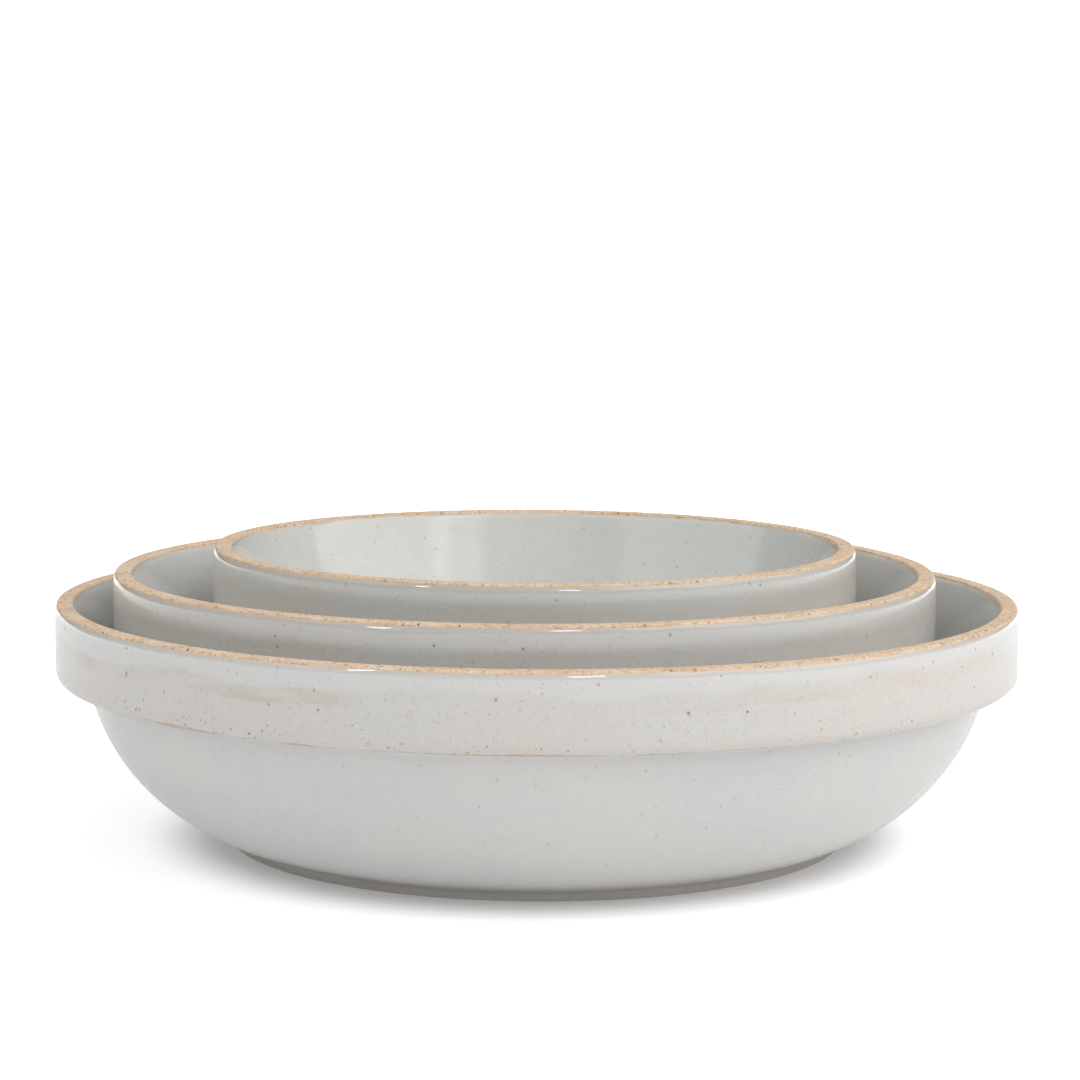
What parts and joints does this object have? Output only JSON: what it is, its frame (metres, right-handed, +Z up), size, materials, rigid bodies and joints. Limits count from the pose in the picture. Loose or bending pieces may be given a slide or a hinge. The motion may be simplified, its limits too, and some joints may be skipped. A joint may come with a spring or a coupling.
{
  "type": "nesting bowl set",
  "caption": "Nest of round stoneware stacking bowls with straight collars, bare clay rims and a speckled pale grey glaze; each lifts out of the next.",
  "frame": {"origin": "centre of the large bowl's foot, on the table", "axes": "+Z up along the large bowl's axis, out of its mouth; the bowls are round, so +X and +Y are free, with the two inner bowls set slightly off centre along X"},
  "size_m": [0.22, 0.22, 0.0672],
  "materials": {
    "bare_clay": "matt unglazed stoneware with fine brown grain",
    "grey_glaze": "glossy pale grey glaze with sparse brown iron specks"
  },
  "bodies": {
    "large_bowl": {"large_bowl_body": "bare_clay", "large_bowl_outer_glaze": "grey_glaze", "large_bowl_inner_glaze": "grey_glaze"},
    "medium_bowl": {"medium_bowl_body": "bare_clay", "medium_bowl_outer_glaze": "grey_glaze", "medium_bowl_inner_glaze": "grey_glaze"},
    "small_bowl": {"small_bowl_body": "bare_clay", "small_bowl_outer_glaze": "grey_glaze", "small_bowl_inner_glaze": "grey_glaze"}
  },
  "joints": [
    {"name": "medium_bowl_lift", "type": "slide", "parent": "large_bowl", "child": "medium_bowl", "axis": [0, 0, 1], "range_m": [0, 0.08]},
    {"name": "small_bowl_lift", "type": "slide", "parent": "medium_bowl", "child": "small_bowl", "axis": [0, 0, 1], "range_m": [0, 0.08]}
  ]
}
